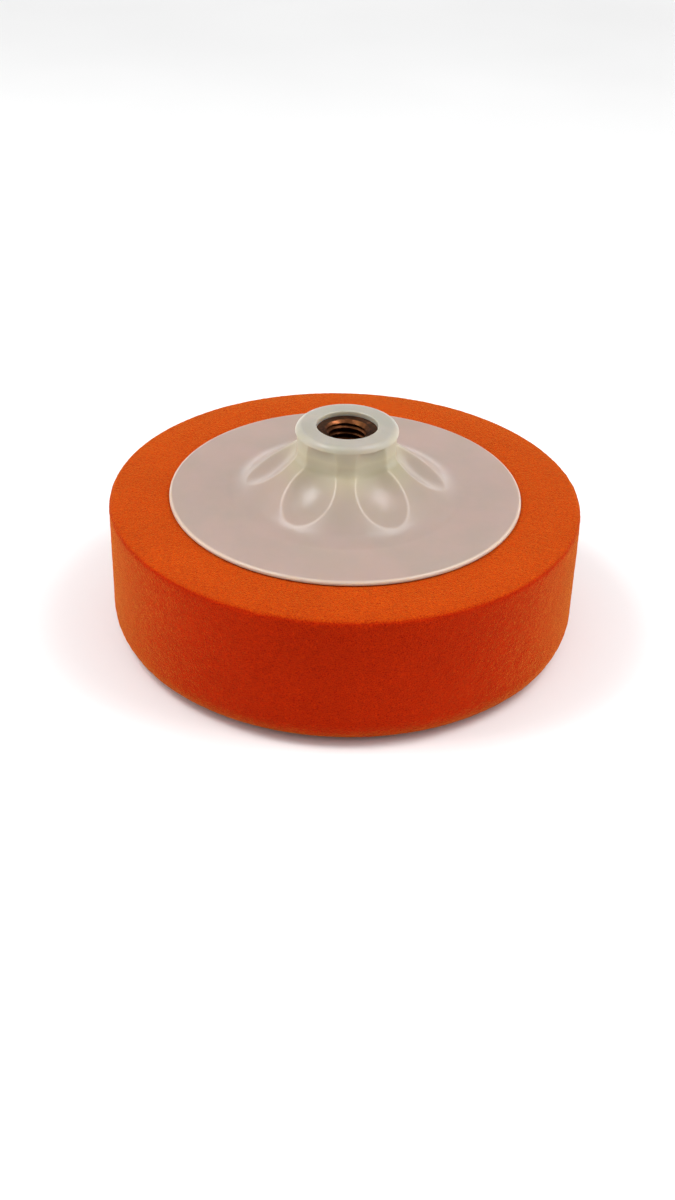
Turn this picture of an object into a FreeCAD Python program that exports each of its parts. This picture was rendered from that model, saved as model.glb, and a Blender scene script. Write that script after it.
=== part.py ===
"""Rotary polishing pad: a foam disc glued to a moulded backing plate that holds an M14 threaded insert.

Millimetres. The origin is the centre of the foam's work face, and +Z runs up the spindle axis.
Every size comes from the "sizes" sheet, and the sub-parts are PartDesign bodies bound to its cells.
"""

import FreeCAD, Part
import math
import os
import Sketcher

SIZES = {
    # Foam disc
    "pad_diameter": 150,
    "pad_thickness": 45,
    "work_edge_radius": 9,
    "back_edge_radius": 1.6,
    # Film of hot-melt adhesive between the foam and the plate
    "film_diameter": 108,
    "film_thickness": 0.3,
    # Backing plate: a thin round flange and the hub that rises from it
    "plate_diameter": 112,
    "plate_thickness": 1.3,
    "rim_top_radius": 0.9,
    "rim_under_radius": 0.2,
    "hub_height": 24.3,
    "collar_diameter": 32.6,
    "collar_height": 9,
    "collar_top_radius": 2.2,
    "collar_foot_radius": 3.5,
    "cone_foot_diameter": 69,
    "cone_foot_radius": 10.5,
    # Scoops round the cone: each is the mark of an ellipsoid sunk into the flank
    "scoop_count": 6,
    "scoop_centre_radius": 26.9,
    "scoop_centre_height": 15.9,
    "scoop_tilt": 37,
    "scoop_half_length": 11.8,
    "scoop_half_width": 9.9,
    "scoop_half_depth": 8.7,
    # Mouth of the hub, above the insert
    "mouth_diameter": 19.3,
    "mouth_depth": 1.7,
    "mouth_edge_radius": 0.4,
    # Hexagonal insert with an M14 x 2 thread, bored here to the thread's minor diameter
    "insert_across_flats": 22,
    "insert_length": 19,
    "thread_bore_diameter": 11.835,
    "thread_mouth_chamfer": 1.3,
    "thread_end_chamfer": 1.2,
    # Groove round the insert, which the moulded plastic fills and so can't let go
    "key_depth": 1.4,
    "key_width": 4,
    "key_height": 8,
}

doc = FreeCAD.newDocument("polishing_pad")


def make_sheet():
    """The driving dimensions, one row each, with the alias that the expressions use."""
    sheet = doc.addObject("Spreadsheet::Sheet", "sizes")
    for row, (name, number) in enumerate(SIZES.items(), start=1):
        sheet.set(f"A{row}", name)
        sheet.set(f"B{row}", str(number))
        sheet.setAlias(f"B{row}", name)
    doc.recompute()
    return sheet


sheet = make_sheet()


def cell(formula):
    """The value of a formula in the sheet's cells, such as 'sizes.pad_diameter / 2'."""
    return float(sheet.evalExpression(formula))


def new_body(label):
    body = doc.addObject("PartDesign::Body", label)
    body.Label = label
    body.Placement = FreeCAD.Placement()
    return body


def origin_feature(body, role):
    return next(feature for feature in body.Origin.OriginFeatures if feature.Role == role)


def new_sketch(body, name, plane="XZ_Plane", height=None):
    """A sketch on one of the body's origin planes, raised by the formula in height."""
    sketch = body.newObject("Sketcher::SketchObject", name)
    sketch.AttachmentSupport = [(origin_feature(body, plane), "")]
    sketch.MapMode = "FlatFace"
    if height:
        sketch.setExpression("AttachmentOffset.Base.z", height)
    return sketch


def bind(sketch, constraint, formula):
    index = sketch.addConstraint(constraint)
    sketch.setExpression(f"Constraints[{index}]", formula)


def draw_outline(sketch, corners):
    """A closed outline of straight sides, each corner an (across, up) pair of formulas."""
    points = [FreeCAD.Vector(cell(across), cell(up), 0) for across, up in corners]
    for start, end in zip(points, points[1:] + points[:1]):
        sketch.addGeometry(Part.LineSegment(start, end), False)
    for side, (across, up) in enumerate(corners):
        before = (side - 1) % len(corners)
        sketch.addConstraint(Sketcher.Constraint("Coincident", before, 2, side, 1))
        if points[side].x:
            bind(sketch, Sketcher.Constraint("DistanceX", -1, 1, side, 1, points[side].x), across)
        else:
            sketch.addConstraint(Sketcher.Constraint("PointOnObject", side, 1, -2))
        if points[side].y:
            bind(sketch, Sketcher.Constraint("DistanceY", -1, 1, side, 1, points[side].y), up)
        else:
            sketch.addConstraint(Sketcher.Constraint("PointOnObject", side, 1, -1))


def draw_circle(sketch, diameter):
    circle = Part.Circle(FreeCAD.Vector(), FreeCAD.Vector(0, 0, 1), cell(diameter) / 2)
    sketch.addGeometry(circle, False)
    sketch.addConstraint(Sketcher.Constraint("Coincident", 0, 3, -1, 1))
    bind(sketch, Sketcher.Constraint("Diameter", 0, cell(diameter)), diameter)


def draw_hexagon(sketch, across_flats):
    """A hexagon on the origin with two flats square to the sketch's Y axis."""
    radius = cell(across_flats) / math.sqrt(3)
    corners = [
        FreeCAD.Vector(radius * math.cos(math.radians(turn)), radius * math.sin(math.radians(turn)), 0)
        for turn in range(0, 360, 60)
    ]
    for start, end in zip(corners, corners[1:] + corners[:1]):
        sketch.addGeometry(Part.LineSegment(start, end), False)
    guide = Part.Circle(FreeCAD.Vector(), FreeCAD.Vector(0, 0, 1), radius)
    ring = sketch.addGeometry(guide, True)
    sketch.addConstraint(Sketcher.Constraint("Coincident", ring, 3, -1, 1))
    for side in range(6):
        sketch.addConstraint(Sketcher.Constraint("Coincident", (side - 1) % 6, 2, side, 1))
        sketch.addConstraint(Sketcher.Constraint("PointOnObject", side, 1, ring))
        if side:
            sketch.addConstraint(Sketcher.Constraint("Equal", 0, side))
    sketch.addConstraint(Sketcher.Constraint("PointOnObject", 0, 1, -1))
    bind(sketch, Sketcher.Constraint("Diameter", ring, 2 * radius), f"{across_flats} * 2 / sqrt(3)")


def revolve(body, sketch):
    """A full turn of the sketch about the spindle axis, added to the body."""
    feature = body.newObject("PartDesign::Revolution", sketch.Name + "_turned")
    feature.Profile = sketch
    feature.ReferenceAxis = (sketch, ["V_Axis"])
    feature.Angle = 360
    sketch.Visibility = False
    doc.recompute()
    return feature


def extrude(body, kind, sketch, length, upward):
    """A Pad or a Pocket of the sketch, from its plane up or down by the formula in length."""
    feature = body.newObject("PartDesign::" + kind, sketch.Name + "_" + kind.lower())
    feature.Profile = sketch
    feature.Type = "Length"
    feature.setExpression("Length", length)
    feature.Reversed = upward if kind == "Pocket" else not upward
    doc.recompute()
    return feature


def ring_edges(shape, radius, height):
    """The names of the shape's circular edges of this radius at this height."""
    names = []
    for number, edge in enumerate(shape.Edges, start=1):
        if edge.Degenerated or not isinstance(edge.Curve, Part.Circle):
            continue
        right_size = abs(edge.Curve.Radius - radius) < 1e-4
        if right_size and abs(edge.Curve.Center.z - height) < 1e-4:
            names.append(f"Edge{number}")
    return names


def dress(body, kind, name, edges, size):
    """A Fillet or a Chamfer of the size in the formula, on edges of the body's last feature."""
    last = body.Tip
    feature = body.newObject("PartDesign::" + kind, name)
    feature.Base = (last, edges)
    feature.setExpression("Radius" if kind == "Fillet" else "Size", size)
    doc.recompute()
    return feature


def round_ring(body, name, diameter, height, size):
    edges = ring_edges(body.Shape, cell(diameter) / 2, cell(height))
    return dress(body, "Fillet", name, edges, size)


def chamfer_ring(body, name, diameter, height, size):
    edges = ring_edges(body.Shape, cell(diameter) / 2, cell(height))
    return dress(body, "Chamfer", name, edges, size)


FILM_UNDER = "sizes.pad_thickness"
PLATE_UNDER = f"({FILM_UNDER} + sizes.film_thickness)"
PLATE_TOP = f"({PLATE_UNDER} + sizes.plate_thickness)"
HUB_TOP = f"({PLATE_UNDER} + sizes.hub_height)"
CONE_TOP = f"({HUB_TOP} - sizes.collar_height)"
INSERT_TOP = f"({HUB_TOP} - sizes.mouth_depth)"
INSERT_UNDER = f"({INSERT_TOP} - sizes.insert_length)"
KEY_UNDER = f"({INSERT_UNDER} + sizes.key_height)"
KEY_TOP = f"({KEY_UNDER} + sizes.key_width)"
KEY_RADIUS = "(sizes.insert_across_flats / 2 - sizes.key_depth)"
PAST_CORNERS = "(sizes.insert_across_flats / sqrt(3) + 0.5)"


def draw_key(sketch):
    """The section of the ring where the plastic reaches into the insert's groove."""
    draw_outline(
        sketch,
        [
            (KEY_RADIUS, KEY_UNDER),
            (PAST_CORNERS, KEY_UNDER),
            (PAST_CORNERS, KEY_TOP),
            (KEY_RADIUS, KEY_TOP),
        ],
    )


def make_foam_pad():
    """The foam disc, with a broad round edge on its work face and a small one at the back."""
    body = new_body("foam_pad")
    sketch = new_sketch(body, "pad_outline", "XY_Plane")
    draw_circle(sketch, "sizes.pad_diameter")
    extrude(body, "Pad", sketch, "sizes.pad_thickness", upward=True)
    round_ring(body, "work_edge", "sizes.pad_diameter", "0", "sizes.work_edge_radius")
    round_ring(body, "back_edge", "sizes.pad_diameter", FILM_UNDER, "sizes.back_edge_radius")
    return body


def make_adhesive_layer():
    """The film that bonds the whole back of the foam under the plate."""
    body = new_body("adhesive_layer")
    sketch = new_sketch(body, "film_outline", "XY_Plane", FILM_UNDER)
    draw_circle(sketch, "sizes.film_diameter")
    extrude(body, "Pad", sketch, "sizes.film_thickness", upward=True)
    return body


def make_plate_blank(body):
    """The flange, cone and collar as one turned solid with its edges rounded."""
    sketch = new_sketch(body, "plate_section")
    draw_outline(
        sketch,
        [
            ("0", PLATE_UNDER),
            ("sizes.plate_diameter / 2", PLATE_UNDER),
            ("sizes.plate_diameter / 2", PLATE_TOP),
            ("sizes.cone_foot_diameter / 2", PLATE_TOP),
            ("sizes.collar_diameter / 2", CONE_TOP),
            ("sizes.collar_diameter / 2", HUB_TOP),
            ("0", HUB_TOP),
        ],
    )
    revolve(body, sketch)
    round_ring(body, "cone_foot", "sizes.cone_foot_diameter", PLATE_TOP, "sizes.cone_foot_radius")
    round_ring(body, "collar_foot", "sizes.collar_diameter", CONE_TOP, "sizes.collar_foot_radius")
    round_ring(body, "collar_top", "sizes.collar_diameter", HUB_TOP, "sizes.collar_top_radius")
    round_ring(body, "rim_top", "sizes.plate_diameter", PLATE_TOP, "sizes.rim_top_radius")
    round_ring(body, "rim_under", "sizes.plate_diameter", PLATE_UNDER, "sizes.rim_under_radius")


def cut_scoops(body):
    """Six scoops round the cone. They save plastic and leave a rib between each two."""
    scoop = body.newObject("PartDesign::SubtractiveEllipsoid", "scoop")
    scoop.AttachmentSupport = [(origin_feature(body, "XY_Plane"), "")]
    scoop.MapMode = "FlatFace"
    scoop.AttachmentOffset = FreeCAD.Placement(
        FreeCAD.Vector(), FreeCAD.Rotation(FreeCAD.Vector(0, 1, 0), 90 + cell("sizes.scoop_tilt"))
    )
    scoop.setExpression("AttachmentOffset.Base.x", "sizes.scoop_centre_radius")
    scoop.setExpression("AttachmentOffset.Base.z", f"{PLATE_UNDER} + sizes.scoop_centre_height")
    scoop.setExpression("AttachmentOffset.Rotation.Angle", "90 + sizes.scoop_tilt")
    scoop.setExpression("Radius1", "sizes.scoop_half_length")
    scoop.setExpression("Radius2", "sizes.scoop_half_depth")
    scoop.setExpression("Radius3", "sizes.scoop_half_width")
    scoop.Angle1 = -90
    scoop.Angle2 = 90
    scoop.Angle3 = 360
    doc.recompute()
    pattern = body.newObject("PartDesign::PolarPattern", "scoop_ring")
    pattern.Originals = [scoop]
    pattern.Axis = (origin_feature(body, "Z_Axis"), [""])
    pattern.Angle = 360
    pattern.setExpression("Occurrences", "sizes.scoop_count")
    body.Tip = pattern
    doc.recompute()


def make_backing_plate():
    """The moulded plate: blank, scoops, and the hollow that the insert fills."""
    body = new_body("backing_plate")
    make_plate_blank(body)
    cut_scoops(body)

    mouth = new_sketch(body, "mouth_outline", "XY_Plane", HUB_TOP)
    draw_circle(mouth, "sizes.mouth_diameter")
    extrude(body, "Pocket", mouth, "sizes.mouth_depth", upward=False)
    round_ring(body, "mouth_edge", "sizes.mouth_diameter", HUB_TOP, "sizes.mouth_edge_radius")

    seat = new_sketch(body, "seat_outline", "XY_Plane", INSERT_UNDER)
    draw_hexagon(seat, "sizes.insert_across_flats")
    extrude(body, "Pocket", seat, "sizes.insert_length", upward=True)

    key = new_sketch(body, "key_section")
    draw_key(key)
    revolve(body, key)
    return body


def make_threaded_insert():
    """The hexagonal insert, with its lock groove, its threaded bore and the bore's chamfers."""
    body = new_body("threaded_insert")
    outline = new_sketch(body, "insert_outline", "XY_Plane", INSERT_UNDER)
    draw_hexagon(outline, "sizes.insert_across_flats")
    extrude(body, "Pad", outline, "sizes.insert_length", upward=True)

    groove_section = new_sketch(body, "groove_section")
    draw_key(groove_section)
    groove = body.newObject("PartDesign::Groove", "lock_groove")
    groove.Profile = groove_section
    groove.ReferenceAxis = (groove_section, ["V_Axis"])
    groove.Angle = 360
    doc.recompute()

    bore = new_sketch(body, "bore_outline", "XY_Plane", INSERT_TOP)
    draw_circle(bore, "sizes.thread_bore_diameter")
    extrude(body, "Pocket", bore, "sizes.insert_length", upward=False)
    bore_size = "sizes.thread_bore_diameter"
    chamfer_ring(body, "thread_mouth", bore_size, INSERT_TOP, "sizes.thread_mouth_chamfer")
    chamfer_ring(body, "thread_end", bore_size, INSERT_UNDER, "sizes.thread_end_chamfer")
    return body


def check(bodies):
    """Stops if any object failed, if a body isn't one valid solid, or if a feature changed nothing."""
    for item in doc.Objects:
        if {"Invalid", "Error"} & set(item.State):
            raise RuntimeError(f"{item.Name} failed: {item.State}")
    for body in bodies:
        shape = body.Shape
        if shape.isNull() or not shape.isValid() or len(shape.Solids) != 1:
            raise RuntimeError(f"{body.Label} isn't one valid solid")
        solids = [step for step in body.Group if step.isDerivedFrom("PartDesign::Feature")]
        for before, after in zip(solids, solids[1:]):
            if abs(before.Shape.Volume - after.Shape.Volume) < 1e-3:
                raise RuntimeError(f"{after.Name} changed nothing")
        print(f"{body.Label}: {shape.Volume / 1000:.3f} cm3, {len(shape.Faces)} faces")


bodies = [make_foam_pad(), make_adhesive_layer(), make_backing_plate(), make_threaded_insert()]
doc.recompute()
check(bodies)
os.makedirs("parts", exist_ok=True)
for body in bodies:
    body.Shape.exportStep(f"parts/{body.Label}.step")
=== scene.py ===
"""The looks of a rotary polishing pad: a foam disc, a moulded backing plate and a threaded insert.

Metres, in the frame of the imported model: the origin is the centre of the foam's work face, and +Z
runs up the spindle axis. Shapes are worked out in millimetres, and multiplied by MM when their mesh
is made.
"""

import math

import bmesh
import bpy
import numpy as np
from mathutils import Matrix, Vector, noise


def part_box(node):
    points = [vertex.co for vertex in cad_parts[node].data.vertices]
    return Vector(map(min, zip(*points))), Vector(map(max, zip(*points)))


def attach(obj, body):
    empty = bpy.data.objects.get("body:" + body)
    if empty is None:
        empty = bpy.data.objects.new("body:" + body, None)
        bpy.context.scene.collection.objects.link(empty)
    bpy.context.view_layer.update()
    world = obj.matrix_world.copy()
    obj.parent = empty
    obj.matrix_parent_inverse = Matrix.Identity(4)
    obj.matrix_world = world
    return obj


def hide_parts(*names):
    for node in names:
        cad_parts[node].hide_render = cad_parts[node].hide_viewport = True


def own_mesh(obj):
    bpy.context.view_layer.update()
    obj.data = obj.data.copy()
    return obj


MM = 0.001
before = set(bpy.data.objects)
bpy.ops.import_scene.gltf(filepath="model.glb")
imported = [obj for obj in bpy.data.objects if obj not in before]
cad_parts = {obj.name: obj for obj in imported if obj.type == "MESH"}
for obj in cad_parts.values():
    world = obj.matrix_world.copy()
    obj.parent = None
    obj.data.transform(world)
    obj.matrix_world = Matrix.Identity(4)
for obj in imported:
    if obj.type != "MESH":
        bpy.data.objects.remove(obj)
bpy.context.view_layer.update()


def span(node):
    """The largest radius of a round node, and its lowest and highest level, in millimetres."""
    low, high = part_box(node)
    return high.x / MM, low.z / MM, high.z / MM


PAD_RADIUS, PAD_UNDER, PAD_TOP = span("foam_pad")
PLATE_RADIUS, PLATE_UNDER, HUB_TOP = span("backing_plate")
INSERT_CORNER, INSERT_UNDER, INSERT_TOP = span("threaded_insert")

# Foam: the roundings of its edges
WORK_EDGE = 9
BACK_EDGE = 1.6

# Foam: the height, the size and the seed of each layer of unevenness, and how far the skin sinks
FINE_LUMPS = 0.12, 1.3, 1
COARSE_LUMPS = 0.07, 3.4, 2
WAVES = 0.35, 34, 3
SKIN_SINK = 0.12

# Foam: the low swell round the plate's rim. It fades out beyond the rim and in under the plate
SWELL = 0.42
SWELL_END = PLATE_RADIUS + 5
SWELL_FADE_OUT = 4
SWELL_START = PLATE_RADIUS - 1.6
SWELL_FADE_IN = 0.8

# Backing plate, with the same sizes as its solid
PLATE_TOP = PLATE_UNDER + 1.3
COLLAR_RADIUS = 16.3
CONE_TOP = HUB_TOP - 9
CONE_FOOT = 34.5
MOUTH_RADIUS = 9.65
RIM_UNDER_EDGE = 0.2
RIM_TOP_EDGE = 0.9
CONE_FOOT_EDGE = 10.5
COLLAR_FOOT_EDGE = 3.5
COLLAR_TOP_EDGE = 2.2
MOUTH_EDGE = 0.4

# Backing plate: the scoops, and how wide their rims are softened
SCOOPS = 6
SCOOP_CENTRE = np.array([26.9, 0, PLATE_UNDER + 15.9])
SCOOP_TILT = math.radians(37)
SCOOP_HALVES = np.array([11.8, 9.9, 8.7])
SCOOP_RIM = 5

# Backing plate: the part of its skin that the scoops can reach
FLANK_INNER = COLLAR_RADIUS - 0.5
FLANK_OUTER = CONE_FOOT + 6
FLANK_UNDER = PLATE_UNDER + 0.4
FLANK_TOP = HUB_TOP - 2

# Insert: an M14 x 2 thread in a hexagonal body with a lock groove, and a chamfer at each end
PITCH = 2
MINOR_RADIUS = 5.9175
MAJOR_RADIUS = 7
MOUTH_CHAMFER = MINOR_RADIUS + 1.3
END_CHAMFER = MINOR_RADIUS + 1.2
KEY_RADIUS = 9.6
KEY_UNDER = INSERT_UNDER + 8
KEY_TOP = KEY_UNDER + 4

# Insert: extra rows on its end faces, which keep the shading at the chamfers and the mouth even
CHAMFER_LIP = 0.12
MOUTH_LEDGE = MOUTH_RADIUS + 0.3

# Insert: its outside from top to bottom, as (radius, level). A radius of None is the hexagon's
INSERT_OUTSIDE = [
    (None, INSERT_TOP),
    (None, KEY_TOP),
    (KEY_RADIUS, KEY_TOP),
    (KEY_RADIUS, KEY_UNDER),
    (None, KEY_UNDER),
    (None, INSERT_UNDER),
]

# Meshes: spokes round each turned piece, and rows to each pitch of the thread
FOAM_SPOKES = 520
PLATE_SPOKES = 360
INSERT_SPOKES = 192
ROWS_PER_PITCH = 16

# Camera: the photograph's view, slightly rolled, and aimed a little low and left of the foam's back
CAMERA_ELEVATION = math.radians(29.03)
CAMERA_DISTANCE = 548
CAMERA_ROLL = math.radians(1.72)
AIM_LOW = math.radians(-3.55)
AIM_LEFT = math.radians(0.26)
LENS = 51.33

# Floor: half its width, in metres
FLOOR_HALF = 3.0


# ---------------------------------------------------------------- outlines and turned meshes


def rounded_path(corners, arc_step):
    """Points of a path through corners, each (radius, level, rounding), with its arcs."""
    points = []
    last = len(corners) - 1
    for index, (across, up, rounding) in enumerate(corners):
        here = np.array([across, up], float)
        if not rounding or index in (0, last):
            points.append(here)
            continue
        back = np.array(corners[index - 1][:2], float) - here
        ahead = np.array(corners[index + 1][:2], float) - here
        back /= np.linalg.norm(back)
        ahead /= np.linalg.norm(ahead)
        half = math.acos(np.clip(back @ ahead, -1, 1)) / 2
        start = here + back * rounding / math.tan(half)
        middle = (back + ahead) / np.linalg.norm(back + ahead)
        centre = here + middle * rounding / math.sin(half)
        sweep = math.pi - 2 * half
        spoke = start - centre
        turn = np.sign(spoke[1] * back[0] - spoke[0] * back[1])
        steps = max(4, round(sweep * rounding / arc_step))
        for step in range(steps + 1):
            angle = turn * sweep * step / steps
            cos, sin = math.cos(angle), math.sin(angle)
            points.append(centre + np.array([[cos, -sin], [sin, cos]]) @ spoke)
    return points


def divided(points, longest):
    """The same path with no run longer than longest(middle of the run)."""
    out = [points[0]]
    for start, end in zip(points, points[1:]):
        steps = max(1, math.ceil(np.linalg.norm(end - start) / longest((start + end) / 2)))
        out += [start + (end - start) * step / steps for step in range(1, steps + 1)]
    return np.array(out)


def path_normals(path):
    """Unit normals of a path in (radius, level), to the right of its direction of travel."""
    along = np.gradient(path, axis=0)
    along /= np.linalg.norm(along, axis=1)[:, None]
    return np.stack([along[:, 1], -along[:, 0]], axis=1)


def grid_faces(rows, spokes):
    """Quads of a grid of rows by spokes that wraps round its spokes."""
    faces = []
    for row in range(rows - 1):
        above = row + 1
        for spoke in range(spokes):
            beside = (spoke + 1) % spokes
            corners = (row, spoke), (row, beside), (above, beside), (above, spoke)
            faces.append([r * spokes + s for r, s in corners])
    return faces


def finished_mesh(name, points_mm, faces, sharp_angle=None):
    """A mesh object from points in millimetres, with doubled points merged and normals outward."""
    mesh = bpy.data.meshes.new(name)
    mesh.from_pydata((np.asarray(points_mm) * MM).tolist(), [], faces)
    work = bmesh.new()
    work.from_mesh(mesh)
    bmesh.ops.remove_doubles(work, verts=work.verts, dist=0.002 * MM)
    bmesh.ops.dissolve_degenerate(work, edges=work.edges, dist=0.001 * MM)
    bmesh.ops.recalc_face_normals(work, faces=work.faces)
    work.to_mesh(mesh)
    work.free()
    mesh.shade_smooth()
    if sharp_angle:
        mesh.set_sharp_from_angle(angle=sharp_angle)
    piece = bpy.data.objects.new(name, mesh)
    bpy.context.scene.collection.objects.link(piece)
    return piece


def spoke_angles(spokes):
    """The angles of evenly spaced spokes, from +X."""
    return np.arange(spokes) * 2 * math.pi / spokes


def turned_points(path, angles):
    """Points (rows, spokes, 3) of a path turned about the spindle axis."""
    across = path[:, 0][:, None]
    level = np.repeat(path[:, 1][:, None], len(angles), axis=1)
    return np.stack([across * np.cos(angles), across * np.sin(angles), level], axis=2)


def hex_radius(angles):
    """The radius of the insert's hexagon at each angle. Its corners start on +X."""
    flat = INSERT_CORNER * math.cos(math.pi / 6)
    from_flat = (angles % (math.pi / 3)) - math.pi / 6
    return flat / np.cos(from_flat)


def ring(radius, angles, level):
    """A row of points about the spindle axis. Radius and level can differ from angle to angle."""
    levels = np.broadcast_to(level, angles.shape)
    return np.stack([radius * np.cos(angles), radius * np.sin(angles), levels], axis=1)


def rings(outline, angles):
    """A row of points for each (radius, level). A radius of None is the hexagon's."""
    return [
        ring(hex_radius(angles) if radius is None else radius, angles, level)
        for radius, level in outline
    ]


# ---------------------------------------------------------------- foam


def foam_longest(middle):
    """Longest run of the foam's outline: short where it shows, and long under the plate."""
    if middle[1] > PAD_TOP - 0.5 and middle[0] < PLATE_RADIUS - 4:
        return 7
    if middle[1] < PAD_UNDER + 0.5:
        return 1.6
    return 0.85


def noise_at(points, height, size, seed):
    """Smooth noise within this height at points in millimetres, with lumps of about this size."""
    shift = Vector((seed * 17.3, seed * 5.1, seed * 9.7))
    return height * np.array([noise.noise(Vector(point) / size + shift) for point in points])


def make_foam():
    """The foam disc. Its skin has the small lumps and hollows of cut open-cell foam."""
    corners = [
        (0, PAD_UNDER, 0),
        (PAD_RADIUS, PAD_UNDER, WORK_EDGE),
        (PAD_RADIUS, PAD_TOP, BACK_EDGE),
        (0, PAD_TOP, 0),
    ]
    path = divided(rounded_path(corners, arc_step=0.7), foam_longest)
    angles = spoke_angles(FOAM_SPOKES)
    points = turned_points(path, angles).reshape(-1, 3)
    normals = turned_points(path_normals(path), angles).reshape(-1, 3)
    lumps = noise_at(points, *FINE_LUMPS) + noise_at(points, *COARSE_LUMPS)
    waves = noise_at(points, *WAVES) - SKIN_SINK

    # The flat faces only sink, so the work face stays on its plane
    upright = normals[:, 2]
    rise = np.where(np.abs(upright) > 0.7, -np.abs(lumps), lumps + waves)
    across = np.hypot(points[:, 0], points[:, 1])
    fade_out = np.clip((SWELL_END - across) / SWELL_FADE_OUT, 0, 1)
    fade_in = np.clip((across - SWELL_START) / SWELL_FADE_IN, 0, 1)
    rise += np.where(upright > 0.7, SWELL * fade_out * fade_in, 0)

    # The points on the axis are one point, so none of them moves
    rise[across < 1e-6] = 0
    points += normals * rise[:, None]
    return finished_mesh("foam", points, grid_faces(len(path), FOAM_SPOKES))


# ---------------------------------------------------------------- backing plate


def smooth_max(values, floor, width):
    """The larger of values and floor, with the change between them spread over width."""
    near = np.clip(1 - np.abs(values - floor) / width, 0, 1)
    return np.maximum(values, floor) + near * near * width / 4


def scoop_depths(points, normals):
    """How far each point sinks along its inward normal, to the surface of the scoops' ellipsoids."""
    down = np.array([math.cos(SCOOP_TILT), 0, -math.sin(SCOOP_TILT)])
    side = np.array([0, 1, 0])
    out = np.cross(down, side)
    axes = np.stack([down, side, out]) / SCOOP_HALVES[:, None]
    depths = np.zeros(len(points))
    for scoop in range(SCOOPS):
        turn = 2 * math.pi * scoop / SCOOPS
        spin = np.array([
            [math.cos(turn), math.sin(turn), 0],
            [-math.sin(turn), math.cos(turn), 0],
            [0, 0, 1],
        ])
        start = (points @ spin.T - SCOOP_CENTRE) @ axes.T
        inward = -(normals @ spin.T) @ axes.T
        square = (inward**2).sum(1)
        slope = (inward * start).sum(1)
        outside = (start**2).sum(1) - 1
        under_root = slope**2 - square * outside
        reach = (np.sqrt(np.maximum(under_root, 0)) - slope) / square
        near_rim = (under_root > 0) & ((outside < 0) | (reach < 0))
        sunk = smooth_max(np.where(near_rim, reach, -SCOOP_RIM), 0, SCOOP_RIM)
        depths = np.maximum(depths, sunk)
    return depths


def plate_longest(middle):
    """Longest run of the plate's outline: short on the hub, longer on the flange and underneath."""
    if middle[1] < PLATE_UNDER + 0.2:
        return 4
    return 0.45 if middle[0] < FLANK_OUTER else 1.2


def make_plate():
    """The moulded plate: its hub, its scoops, the mouth and the hollow that holds the insert."""
    outside = [
        (0, PLATE_UNDER, 0),
        (PLATE_RADIUS, PLATE_UNDER, RIM_UNDER_EDGE),
        (PLATE_RADIUS, PLATE_TOP, RIM_TOP_EDGE),
        (CONE_FOOT, PLATE_TOP, CONE_FOOT_EDGE),
        (COLLAR_RADIUS, CONE_TOP, COLLAR_FOOT_EDGE),
        (COLLAR_RADIUS, HUB_TOP, COLLAR_TOP_EDGE),
        (MOUTH_RADIUS, HUB_TOP, MOUTH_EDGE),
        (MOUTH_RADIUS, INSERT_TOP, 0),
    ]
    path = divided(rounded_path(outside, arc_step=0.2), plate_longest)
    angles = spoke_angles(PLATE_SPOKES)
    skin = turned_points(path, angles)
    normals = turned_points(path_normals(path), angles)
    across, level = path.T
    flank = (across > FLANK_INNER) & (across < FLANK_OUTER)
    flank &= (level > FLANK_UNDER) & (level < FLANK_TOP)
    points = skin[flank].reshape(-1, 3)
    outward = normals[flank].reshape(-1, 3)
    points = points - outward * scoop_depths(points, outward)[:, None]
    skin[flank] = points.reshape(-1, PLATE_SPOKES, 3)

    hollow = rings(INSERT_OUTSIDE + [(0, INSERT_UNDER)], angles)
    rows = np.concatenate([skin, np.array(hollow)])
    faces = grid_faces(len(rows), PLATE_SPOKES)
    return finished_mesh("plate_moulding", rows.reshape(-1, 3), faces, math.radians(50))


# ---------------------------------------------------------------- insert


def thread_radius(phase):
    """The radius of the internal thread's 60 degree profile. A phase of 0 or 1 is a crest."""
    crest, root = 1 / 8, 7 / 16
    from_crest = np.abs((phase + 0.5) % 1 - 0.5)
    share = np.clip((from_crest - crest) / (root - crest), 0, 1)
    return MINOR_RADIUS + share * (MAJOR_RADIUS - MINOR_RADIUS)


def helical_faces(rows, thread_rows):
    """Quads between the insert's rows, the last one joined to the first.

    The first rows are the thread's. After one turn each meets the row that starts one pitch higher.
    """
    faces = []
    for row in range(rows):
        above = (row + 1) % rows
        in_thread = row < thread_rows
        for spoke in range(INSERT_SPOKES):
            beside = (spoke + 1) % INSERT_SPOKES
            shift = ROWS_PER_PITCH if in_thread and beside == 0 else 0
            here = min(row + shift, thread_rows - 1) if in_thread else row
            there = above
            if in_thread and above < thread_rows:
                there = min(above + shift, thread_rows - 1)
            corners = (row, spoke), (here, beside), (there, beside), (above, spoke)
            faces.append([r * INSERT_SPOKES + s for r, s in corners])
    return faces


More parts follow.
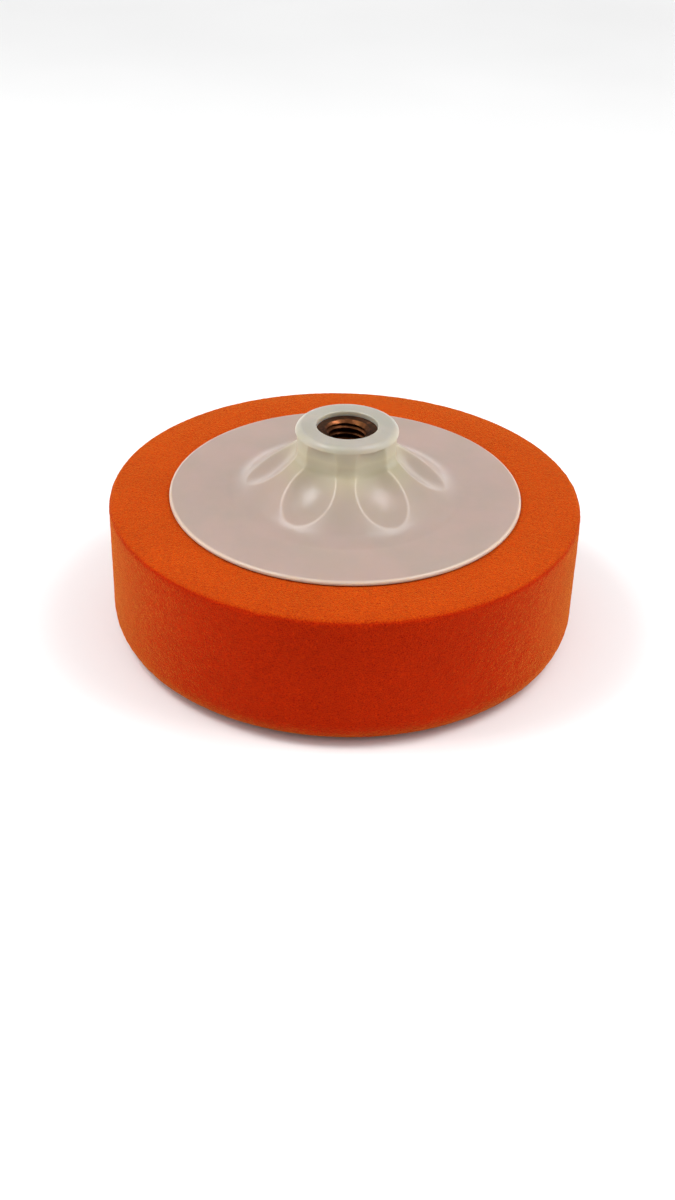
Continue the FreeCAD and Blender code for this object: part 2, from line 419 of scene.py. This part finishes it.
def make_insert():
    """The insert: a thread inside, whose rows follow its helix, and a grooved hexagon outside."""
    angles = spoke_angles(INSERT_SPOKES)
    turns = (INSERT_TOP - INSERT_UNDER) / PITCH
    thread_rows = math.ceil((turns + 1) * ROWS_PER_PITCH) + 1
    rows = []
    for row in range(thread_rows):
        climb = (row - ROWS_PER_PITCH) / ROWS_PER_PITCH + angles / (2 * math.pi)
        level = np.clip(INSERT_UNDER + PITCH * climb, INSERT_UNDER, INSERT_TOP)
        radius = thread_radius(np.full(INSERT_SPOKES, row / ROWS_PER_PITCH))
        radius = np.maximum(radius, MOUTH_CHAMFER - (INSERT_TOP - level))
        radius = np.maximum(radius, END_CHAMFER - (level - INSERT_UNDER))
        rows.append(ring(radius, angles, level))
    top_face = [(MOUTH_CHAMFER + CHAMFER_LIP, INSERT_TOP), (MOUTH_LEDGE, INSERT_TOP)]
    end_face = [(END_CHAMFER + CHAMFER_LIP, INSERT_UNDER)]
    rows += rings(top_face + INSERT_OUTSIDE + end_face, angles)
    faces = helical_faces(len(rows), thread_rows)
    return finished_mesh("insert_thread", np.array(rows).reshape(-1, 3), faces, math.radians(35))


# ---------------------------------------------------------------- materials


def new_material(name):
    """A new material, its node tree and its shader."""
    material = bpy.data.materials.new(name)
    material.use_nodes = True
    tree = material.node_tree
    shader = next(node for node in tree.nodes if node.type == "BSDF_PRINCIPLED")
    return material, tree, shader


def add_node(tree, kind, inputs=None, **settings):
    """A new node. Each of its inputs is linked to a socket or set to a value."""
    node = tree.nodes.new(kind)
    for name, value in settings.items():
        setattr(node, name, value)
    for name, value in (inputs or {}).items():
        if isinstance(value, bpy.types.NodeSocket):
            tree.links.new(value, node.inputs[name])
        else:
            node.inputs[name].default_value = value
    return node


def object_millimetres(tree):
    """A vector output with the object's own coordinates in millimetres."""
    coordinates = add_node(tree, "ShaderNodeTexCoord")
    scaled = add_node(
        tree,
        "ShaderNodeVectorMath",
        {0: coordinates.outputs["Object"], "Scale": 1 / MM},
        operation="SCALE",
    )
    return scaled.outputs["Vector"]


def noise_texture(tree, vector, size, detail=3.0, roughness=0.5):
    """Noise from 0 to 1 with features of about this many millimetres."""
    node = add_node(
        tree,
        "ShaderNodeTexNoise",
        {"Vector": vector, "Scale": 1 / size, "Detail": detail, "Roughness": roughness},
    )
    return node.outputs[0]


def ramp(tree, value, stops):
    """A colour ramp with stops of (place, colour)."""
    node = add_node(tree, "ShaderNodeValToRGB", {"Fac": value})
    elements = node.color_ramp.elements
    while len(elements) < len(stops):
        elements.new(0.5)
    for element, (place, colour) in zip(elements, stops):
        element.position = place
        element.color = (*colour, 1)
    return node.outputs["Color"]


def mixed(tree, share, first, second, blend="MIX"):
    """Two colours, each a socket or a value, blended by share."""
    node = add_node(tree, "ShaderNodeMix", data_type="RGBA", blend_type=blend)
    for socket, value in ((0, share), (6, first), (7, second)):
        if isinstance(value, bpy.types.NodeSocket):
            tree.links.new(value, node.inputs[socket])
        else:
            node.inputs[socket].default_value = value if socket == 0 else (*value, 1)
    return node.outputs[2]


def maths(tree, operation, first, second=None):
    """The output of a maths node. Its operands are sockets or numbers."""
    node = add_node(tree, "ShaderNodeMath", operation=operation)
    for socket, value in enumerate((first, second)):
        if isinstance(value, bpy.types.NodeSocket):
            tree.links.new(value, node.inputs[socket])
        elif value is not None:
            node.inputs[socket].default_value = value
    return node.outputs[0]


def add_bump(tree, shader, height, strength, depth):
    """A bump on the shader's normal. A height of 1 stands this many millimetres high."""
    bump = add_node(
        tree, "ShaderNodeBump", {"Height": height, "Strength": strength, "Distance": depth * MM}
    )
    tree.links.new(bump.outputs["Normal"], shader.inputs["Normal"])


def foam_material():
    """Orange open-cell foam: painted shade in the cells, and a painted sheen on the flat faces."""
    material, tree, shader = new_material("orange_foam")
    place = object_millimetres(tree)
    cells_per_millimetre = 1.7
    warp = add_node(tree, "ShaderNodeTexNoise", {"Vector": place, "Scale": 0.9, "Detail": 2.0})
    bent = add_node(
        tree, "ShaderNodeVectorMath", {0: place, 1: warp.outputs["Color"]}, operation="ADD"
    )
    cells = add_node(
        tree,
        "ShaderNodeTexVoronoi",
        {"Vector": bent.outputs["Vector"], "Scale": cells_per_millimetre},
        feature="DISTANCE_TO_EDGE",
    )
    depth = add_node(
        tree,
        "ShaderNodeTexVoronoi",
        {"Vector": bent.outputs["Vector"], "Scale": cells_per_millimetre},
    )
    # Painted shade in the pores: the cells' middles are darker than their lighter walls
    walls_with_pore_shade = ramp(
        tree,
        cells.outputs["Distance"],
        [
            (0.0, (0.55, 0.032, 0.0006)),
            (0.10, (0.43, 0.015, 0.0002)),
            (0.42, (0.31, 0.007, 0.0001)),
        ],
    )
    speck = ramp(
        tree, depth.outputs["Color"], [(0.25, (0.9, 0.88, 0.86)), (0.9, (1.06, 1.04, 1.0))]
    )
    grain_and_pore_shade = mixed(tree, 1.0, walls_with_pore_shade, speck, "MULTIPLY")
    patches = ramp(
        tree,
        noise_texture(tree, place, 26),
        [(0.3, (0.94, 0.92, 0.9)), (0.7, (1.04, 1.05, 1.06))],
    )
    # Painted sheen: faces pointing up and down the axis are lighter and yellower, standing in for
    # the sheen that light from above gives the top
    coordinates = add_node(tree, "ShaderNodeTexCoord")
    facing = add_node(tree, "ShaderNodeSeparateXYZ", {0: coordinates.outputs["Normal"]})
    painted_sheen_mask = add_node(
        tree,
        "ShaderNodeMapRange",
        {"Value": maths(tree, "ABSOLUTE", facing.outputs["Z"]), "From Min": 0.55, "From Max": 0.95},
    )
    painted_sheen_tint = mixed(tree, painted_sheen_mask.outputs[0], (1, 1, 1), (1.04, 2.6, 6.0))
    toned = mixed(tree, 1.0, grain_and_pore_shade, painted_sheen_tint, "MULTIPLY")
    tree.links.new(mixed(tree, 1.0, toned, patches, "MULTIPLY"), shader.inputs["Base Color"])
    fine = noise_texture(tree, place, 0.5, 2.0)
    height = maths(tree, "ADD", maths(tree, "MULTIPLY", cells.outputs["Distance"], -1.6), fine)
    add_bump(tree, shader, height, 0.7, 0.25)
    rough = add_node(tree, "ShaderNodeMapRange", {"Value": fine, "To Min": 0.86, "To Max": 1.0})
    tree.links.new(rough.outputs[0], shader.inputs["Roughness"])
    shader.inputs["Specular IOR Level"].default_value = 0.05
    shader.inputs["Subsurface Weight"].default_value = 0.2
    shader.inputs["Subsurface Radius"].default_value = (1.0, 0.25, 0.08)
    shader.inputs["Subsurface Scale"].default_value = 2.0 * MM
    shader.inputs["Sheen Weight"].default_value = 0.7
    shader.inputs["Sheen Roughness"].default_value = 0.28
    shader.inputs["Sheen Tint"].default_value = (1.0, 0.5, 0.07, 1)
    return material


def plastic_material():
    """Milky plastic: pinkish where thin, greenish white in the hub, painted light and shade on the
    collar, and a painted highlight at the rim.
    """
    material, tree, shader = new_material("milky_plastic")
    place = object_millimetres(tree)
    split = add_node(tree, "ShaderNodeSeparateXYZ", {0: place})
    drift = maths(tree, "SUBTRACT", noise_texture(tree, place, 9, 2.0), 0.5)
    level = maths(tree, "ADD", split.outputs["Z"], maths(tree, "MULTIPLY", drift, 2.5))
    rise = add_node(
        tree, "ShaderNodeMapRange", {"Value": level, "From Min": PLATE_TOP, "From Max": HUB_TOP}
    )
    # Pinkish low on the thin plate and greenish white in the hub. The brightest band, on the
    # collar's side, is painted light, and the darker top face of the hub is painted shade
    tint_and_painted_light = ramp(
        tree,
        rise.outputs[0],
        [
            (0.0, (0.385, 0.295, 0.255)),
            (0.35, (0.385, 0.305, 0.245)),
            (0.58, (0.42, 0.37, 0.25)),
            (0.74, (0.58, 0.545, 0.40)),
            (0.9, (0.52, 0.49, 0.38)),
            (1.0, (0.365, 0.345, 0.30)),
        ],
    )
    clouds = ramp(
        tree,
        noise_texture(tree, place, 14),
        [(0.35, (0.95, 0.97, 0.96)), (0.65, (1.04, 1.0, 1.01))],
    )
    flat_place = add_node(
        tree, "ShaderNodeVectorMath", {0: place, 1: (1, 1, 0)}, operation="MULTIPLY"
    )
    across = add_node(
        tree, "ShaderNodeVectorMath", {0: flat_place.outputs["Vector"]}, operation="LENGTH"
    )
    # Painted highlight: a pale cream band at the rim's edge, where the lamps catch it
    rim = add_node(
        tree,
        "ShaderNodeMapRange",
        {
            "Value": across.outputs["Value"],
            "From Min": PLATE_RADIUS - 1.0,
            "From Max": PLATE_RADIUS - 0.2,
        },
    )
    clouds_and_painted_light = mixed(tree, 1.0, tint_and_painted_light, clouds, "MULTIPLY")
    with_painted_rim_highlight = mixed(tree, rim.outputs[0], clouds_and_painted_light, (0.60, 0.475, 0.385))
    tree.links.new(with_painted_rim_highlight, shader.inputs["Base Color"])
    orange_peel = noise_texture(tree, place, 3.0, 1.0)
    scuffs = noise_texture(tree, place, 0.6, 4.0, 0.7)
    height = maths(tree, "ADD", orange_peel, maths(tree, "MULTIPLY", scuffs, 0.03))
    add_bump(tree, shader, height, 0.2, 0.08)
    rough = add_node(tree, "ShaderNodeMapRange", {"Value": scuffs, "To Min": 0.27, "To Max": 0.36})
    tree.links.new(rough.outputs[0], shader.inputs["Roughness"])
    shader.inputs["IOR"].default_value = 1.49
    shader.inputs["Subsurface Weight"].default_value = 0.85
    shader.inputs["Subsurface Radius"].default_value = (1.0, 0.85, 0.6)
    shader.inputs["Subsurface Scale"].default_value = 4 * MM
    return material


def copper_material():
    """Copper-coloured plating, brown and duller in patches."""
    material, tree, shader = new_material("copper_plating")
    place = object_millimetres(tree)
    tarnish = noise_texture(tree, place, 2.2, 4.0, 0.6)
    colour = ramp(
        tree,
        tarnish,
        [
            (0.3, (0.045, 0.018, 0.006)),
            (0.55, (0.12, 0.042, 0.016)),
            (0.8, (0.34, 0.12, 0.052)),
        ],
    )
    tree.links.new(colour, shader.inputs["Base Color"])
    rough = add_node(tree, "ShaderNodeMapRange", {"Value": tarnish, "To Min": 0.42, "To Max": 0.26})
    tree.links.new(rough.outputs[0], shader.inputs["Roughness"])
    marks = noise_texture(tree, place, 0.3)
    add_bump(tree, shader, marks, 0.3, 0.03)
    shader.inputs["Metallic"].default_value = 1.0
    return material


def adhesive_material():
    """Hot-melt film: amber, cloudy and slightly uneven."""
    material, tree, shader = new_material("adhesive_film")
    place = object_millimetres(tree)
    swirl = noise_texture(tree, place, 6)
    colour = ramp(tree, swirl, [(0.3, (0.62, 0.45, 0.24)), (0.7, (0.78, 0.64, 0.42))])
    tree.links.new(colour, shader.inputs["Base Color"])
    add_bump(tree, shader, swirl, 0.4, 0.1)
    shader.inputs["Roughness"].default_value = 0.35
    return material


def floor_material():
    """Pale grey floor, very slightly uneven."""
    material, tree, shader = new_material("pale_floor")
    place = object_millimetres(tree)
    shade = ramp(
        tree,
        noise_texture(tree, place, 220, 2.0),
        [(0.3, (0.86, 0.86, 0.86)), (0.7, (0.9, 0.9, 0.9))],
    )
    tree.links.new(shade, shader.inputs["Base Color"])
    shader.inputs["Roughness"].default_value = 0.9
    shader.inputs["Specular IOR Level"].default_value = 0.1
    return material


# ---------------------------------------------------------------- stage


def add_area_light(name, place, aim, size, power):
    """A white rectangular light. The places and the size are in metres, and the power in watts."""
    lamp = bpy.data.lights.new(name, "AREA")
    lamp.shape = "RECTANGLE"
    lamp.size, lamp.size_y = size
    lamp.energy = power
    light = bpy.data.objects.new(name, lamp)
    light.location = place
    light.rotation_euler = (Vector(aim) - Vector(place)).to_track_quat("-Z", "Y").to_euler()
    bpy.context.scene.collection.objects.link(light)


def make_world():
    """Soft studio surroundings: bright above and at the sides, dimmer in front and behind."""
    world = bpy.data.worlds.new("studio")
    bpy.context.scene.world = world
    world.use_nodes = True
    tree = world.node_tree
    background = next(node for node in tree.nodes if node.type == "BACKGROUND")
    coordinates = add_node(tree, "ShaderNodeTexCoord")
    split = add_node(tree, "ShaderNodeSeparateXYZ", {0: coordinates.outputs["Generated"]})
    sides = maths(tree, "MULTIPLY", maths(tree, "ABSOLUTE", split.outputs["X"]), 0.35)
    above = maths(tree, "MULTIPLY", maths(tree, "MAXIMUM", split.outputs["Z"], 0.0), 0.3)
    ends = maths(tree, "MULTIPLY", maths(tree, "ABSOLUTE", split.outputs["Y"]), 0.14)
    brighter = maths(tree, "ADD", maths(tree, "ADD", sides, above), 0.2)
    tree.links.new(maths(tree, "SUBTRACT", brighter, ends), background.inputs["Strength"])
    background.inputs["Color"].default_value = (1, 1, 1, 1)


def make_camera():
    """The camera looks from the front and above at the middle of the foam's back."""
    target = Vector((0, 0, PAD_TOP * MM))
    back = Vector((0, -math.cos(CAMERA_ELEVATION), math.sin(CAMERA_ELEVATION)))
    place = Matrix.Translation(target + back * (CAMERA_DISTANCE * MM))
    facing = Matrix.Rotation(math.pi / 2 - CAMERA_ELEVATION, 4, "X")
    roll = Matrix.Rotation(CAMERA_ROLL, 4, "Z")
    aim_low = Matrix.Rotation(AIM_LOW, 4, "X")
    aim_left = Matrix.Rotation(AIM_LEFT, 4, "Y")
    camera = bpy.data.cameras.new("camera")
    camera.sensor_width = 36
    camera.lens = LENS
    camera.clip_start = 0.01
    holder = bpy.data.objects.new("camera", camera)
    holder.matrix_world = place @ facing @ roll @ aim_low @ aim_left
    bpy.context.scene.collection.objects.link(holder)
    bpy.context.scene.camera = holder


def make_floor():
    """A square floor under the pad."""
    mesh = bpy.data.meshes.new("floor")
    corners = [(x * FLOOR_HALF, y * FLOOR_HALF, 0) for x, y in ((-1, -1), (1, -1), (1, 1), (-1, 1))]
    mesh.from_pydata(corners, [], [(0, 1, 2, 3)])
    floor = bpy.data.objects.new("floor", mesh)
    bpy.context.scene.collection.objects.link(floor)
    floor.data.materials.append(floor_material())


# ---------------------------------------------------------------- the pad

bpy.context.scene.view_settings.view_transform = "Standard"
make_camera()
make_world()
make_floor()
add_area_light("overhead", (0.0, -0.3, 1.1), (0, 0, 0.03), (0.9, 0.9), 1.6)
add_area_light("front_fill", (0.0, -1.3, 0.4), (0, 0, 0.04), (1.0, 0.5), 0.5)
add_area_light("left_top", (-0.5, -0.06, 0.85), (0, 0, 0.06), (0.34, 0.34), 4.2)
add_area_light("right_top", (0.5, -0.06, 0.85), (0, 0, 0.06), (0.42, 0.42), 4.2)
add_area_light("left_box", (-0.85, 0.0, 0.34), (0, 0, 0.03), (0.9, 0.6), 2.3)
add_area_light("right_box", (0.85, 0.0, 0.34), (0, 0, 0.03), (0.9, 0.6), 2.5)
add_area_light("back_strip", (0.0, 1.25, 0.16), (0, 0, 0.06), (2.2, 0.24), 3.4)

foam = make_foam()
foam.data.materials.append(foam_material())
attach(foam, "foam")
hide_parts("foam_pad")

plate = make_plate()
plate.data.materials.append(plastic_material())
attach(plate, "hub")
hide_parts("backing_plate")

insert = make_insert()
insert.data.materials.append(copper_material())
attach(insert, "hub")
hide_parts("threaded_insert")

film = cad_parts["adhesive_layer"]
film.material_slots[0].material = adhesive_material()

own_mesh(foam)
